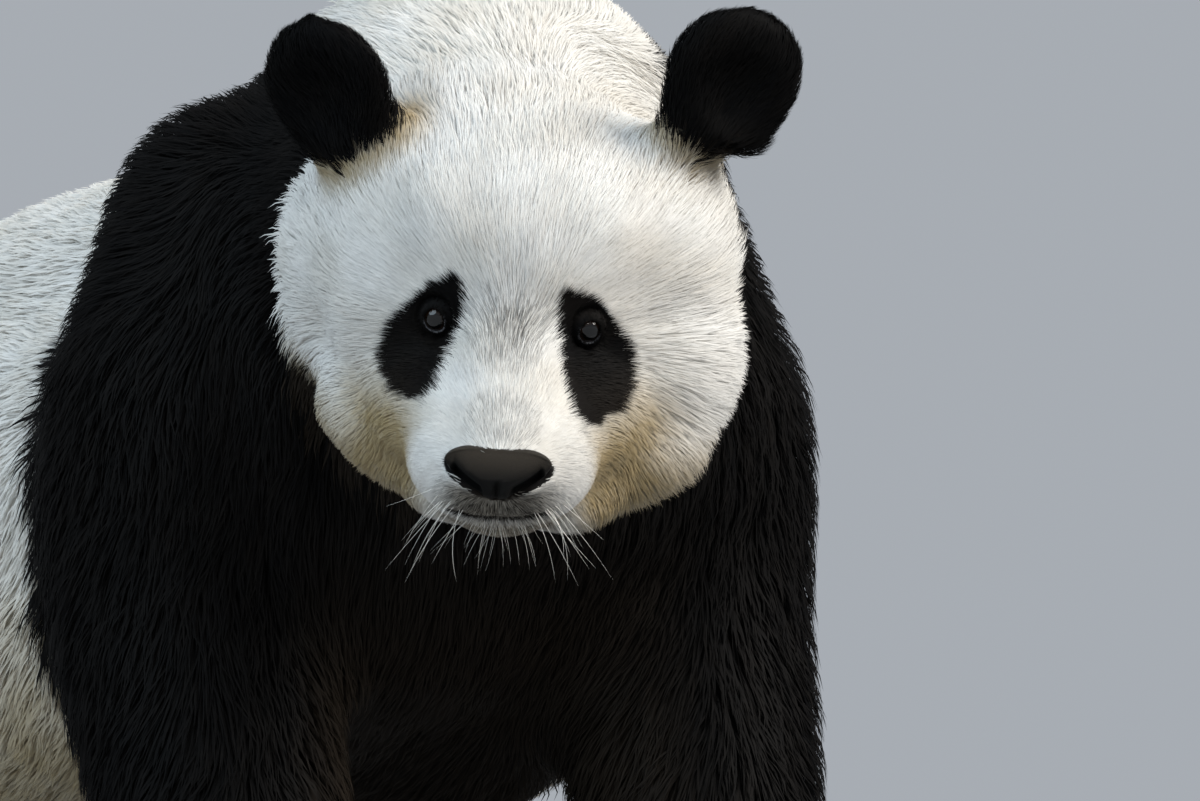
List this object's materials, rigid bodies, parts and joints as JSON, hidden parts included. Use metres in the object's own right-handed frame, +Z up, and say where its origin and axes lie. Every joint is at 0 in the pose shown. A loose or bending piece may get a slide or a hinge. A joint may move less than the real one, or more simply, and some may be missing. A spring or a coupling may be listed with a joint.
{
  "type": "giant panda",
  "caption": "Life-size giant panda standing on all fours, its head lowered and turned to its right.",
  "frame": {"origin": "on the floor, under the middle of the animal's length and width", "axes": "+Z up, the animal faces -Y, its left side is +X"},
  "size_m": [0.5944, 1.4464, 0.8266],
  "materials": {
    "white_fur": "soft white fur with cream and grey tints",
    "black_fur": "soft black fur, brownish where it thins",
    "eye": "wet and glossy, dark brown",
    "nose_skin": "moist, finely pebbled black skin",
    "claw": "smooth horn, worn paler at the tip"
  },
  "bodies": {
    "root": {"claw_fore_left_1": "claw", "claw_fore_left_2": "claw", "claw_fore_left_3": "claw", "claw_fore_left_4": "claw", "claw_fore_left_5": "claw", "claw_fore_right_1": "claw", "claw_fore_right_2": "claw", "claw_fore_right_3": "claw", "claw_fore_right_4": "claw", "claw_fore_right_5": "claw", "claw_hind_left_1": "claw", "claw_hind_left_2": "claw", "claw_hind_left_3": "claw", "claw_hind_left_4": "claw", "claw_hind_left_5": "claw", "claw_hind_right_1": "claw", "claw_hind_right_2": "claw", "claw_hind_right_3": "claw", "claw_hind_right_4": "claw", "claw_hind_right_5": "claw", "ear_left": "black_fur", "ear_right": "black_fur", "eye_left": "eye", "eye_right": "eye", "foreleg_left": "black_fur", "foreleg_right": "black_fur", "forepaw_left": "black_fur", "forepaw_right": "black_fur", "head": "white_fur", "hindleg_left": "black_fur", "hindleg_right": "black_fur", "hindpaw_left": "black_fur", "hindpaw_right": "black_fur", "neck": "white_fur", "nose": "nose_skin", "tail": "white_fur", "trunk": "white_fur"}
  },
  "joints": []
}
